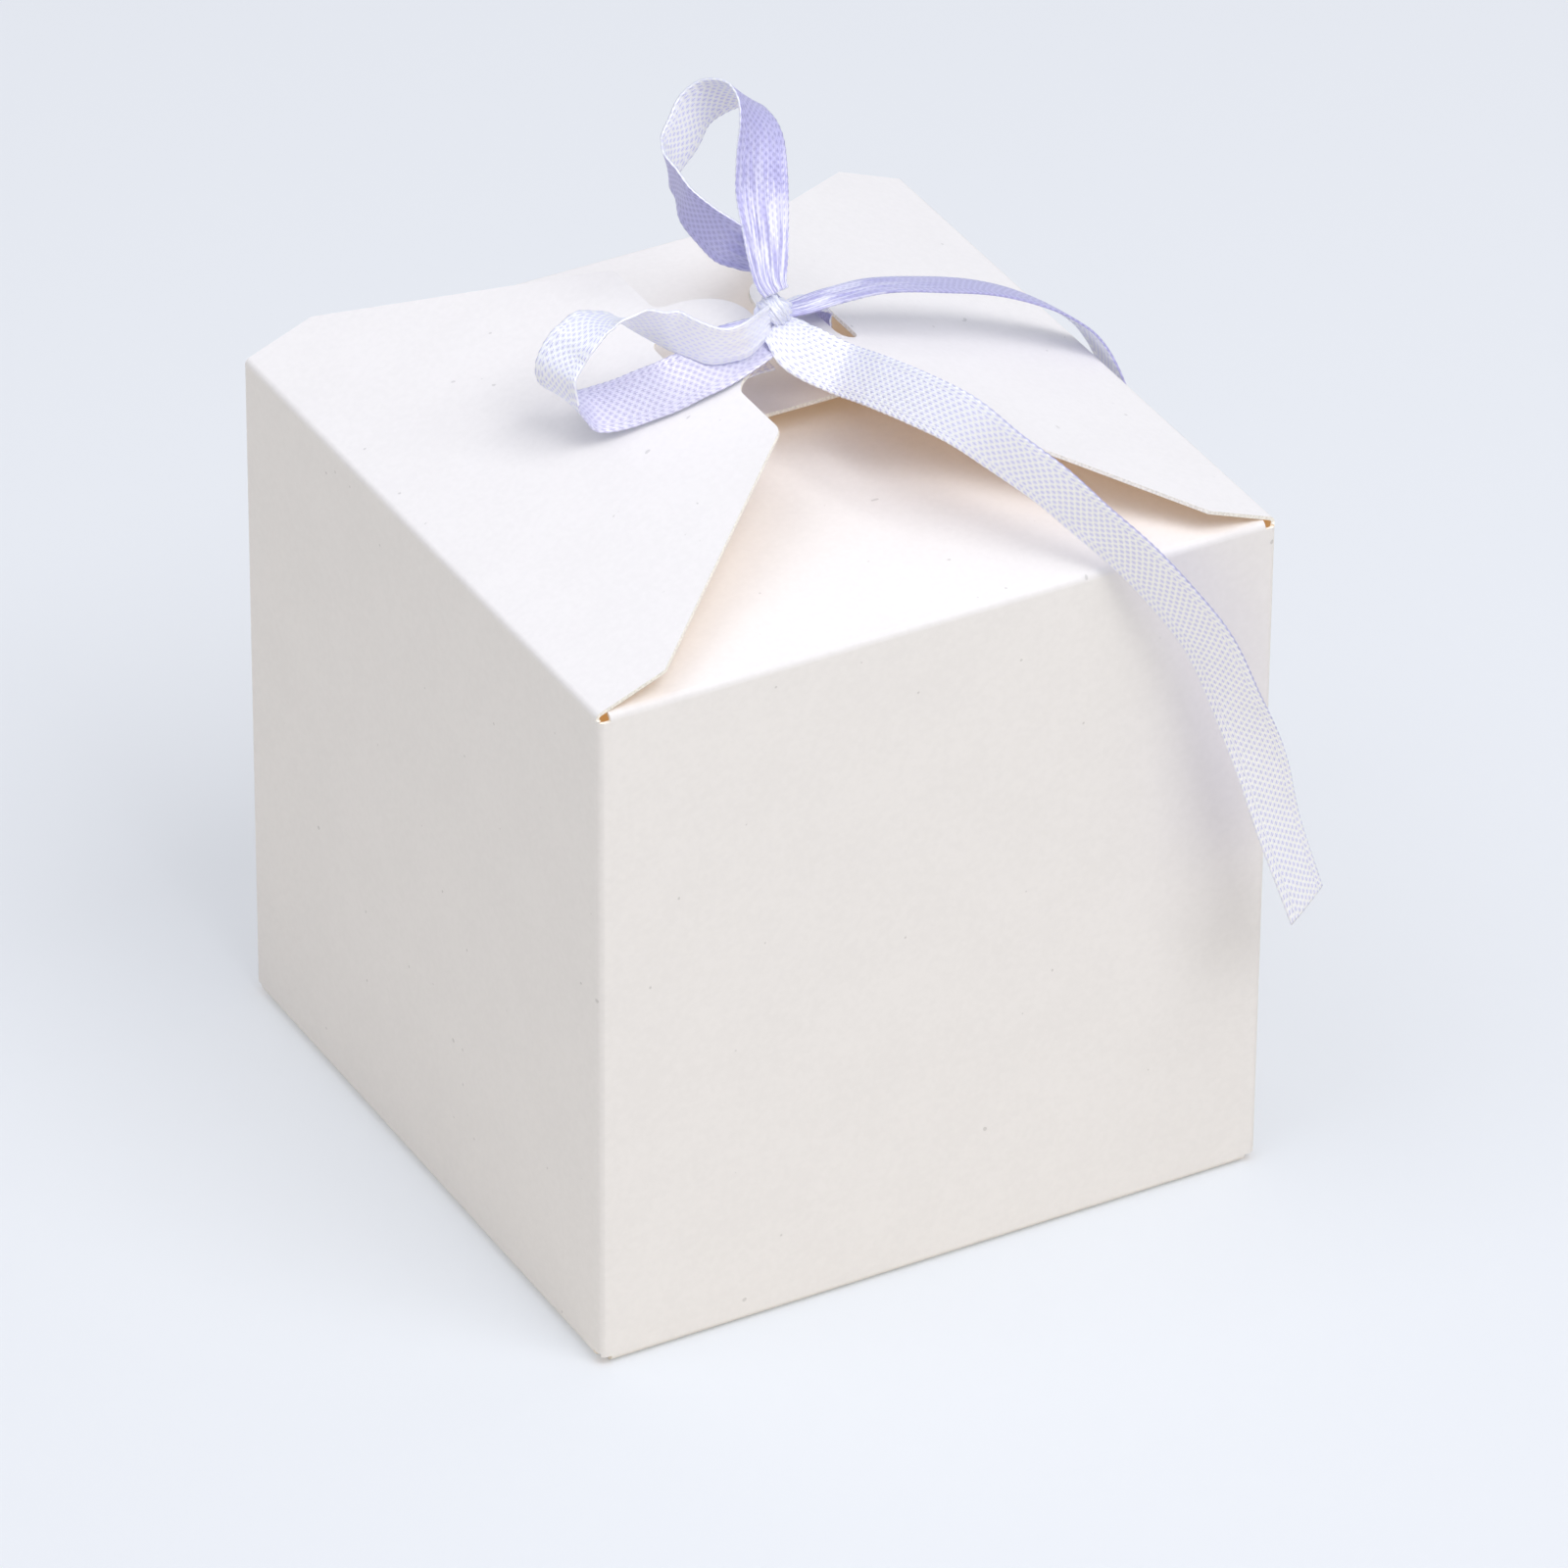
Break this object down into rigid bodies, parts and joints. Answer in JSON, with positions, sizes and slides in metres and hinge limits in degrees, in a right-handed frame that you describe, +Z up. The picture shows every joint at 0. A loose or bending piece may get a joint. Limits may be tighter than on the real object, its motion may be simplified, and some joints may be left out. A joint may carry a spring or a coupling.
{
  "type": "favor box",
  "caption": "Small square carton box closed by two lobed flaps over two dust flaps and tied with a flat ribbon bow through slots in the lobes.",
  "frame": {"origin": "centre of the square footprint, on the surface that the box stands on", "axes": "+Z up, +X to the right along the front wall, +Y from the front wall to the back wall"},
  "size_m": [0.0935, 0.1023, 0.1319],
  "materials": {
    "board": "satin pearl",
    "ribbon": "satin"
  },
  "bodies": {
    "box": {"front_panel": "board", "right_panel": "board", "back_panel": "board", "left_panel": "board", "glue_tab": "board", "front_bottom": "board", "right_bottom": "board", "back_bottom": "board", "left_bottom": "board"},
    "left_lid": {"left_flap": "board", "knot": "ribbon", "left_loop": "ribbon", "top_loop": "ribbon", "front_tail": "ribbon", "back_tail": "ribbon", "left_strap": "ribbon"},
    "right_lid": {"right_flap": "board", "right_strap": "ribbon"},
    "front_lid": {"front_flap": "board"},
    "back_lid": {"back_flap": "board"}
  },
  "joints": [
    {"name": "left_fold", "type": "hinge", "parent": "box", "child": "left_lid", "pos_m": [-0.04483, 0, 0.09088], "axis": [0, -1, 0], "range_deg": [0, 150]},
    {"name": "right_fold", "type": "hinge", "parent": "box", "child": "right_lid", "pos_m": [0.04483, 0, 0.09088], "axis": [0, 1, 0], "range_deg": [0, 150]},
    {"name": "front_fold", "type": "hinge", "parent": "box", "child": "front_lid", "pos_m": [0, -0.04474, 0.09076], "axis": [1, 0, 0], "range_deg": [0, 120]},
    {"name": "back_fold", "type": "hinge", "parent": "box", "child": "back_lid", "pos_m": [0, 0.04475, 0.09079], "axis": [-1, 0, 0], "range_deg": [0, 150]}
  ],
  "couplings": [
    {"joint": "right_fold", "follows": "left_fold", "ratio": 1},
    {"joint": "front_fold", "follows": "left_fold", "ratio": 0.8},
    {"joint": "back_fold", "follows": "left_fold", "ratio": 1}
  ]
}
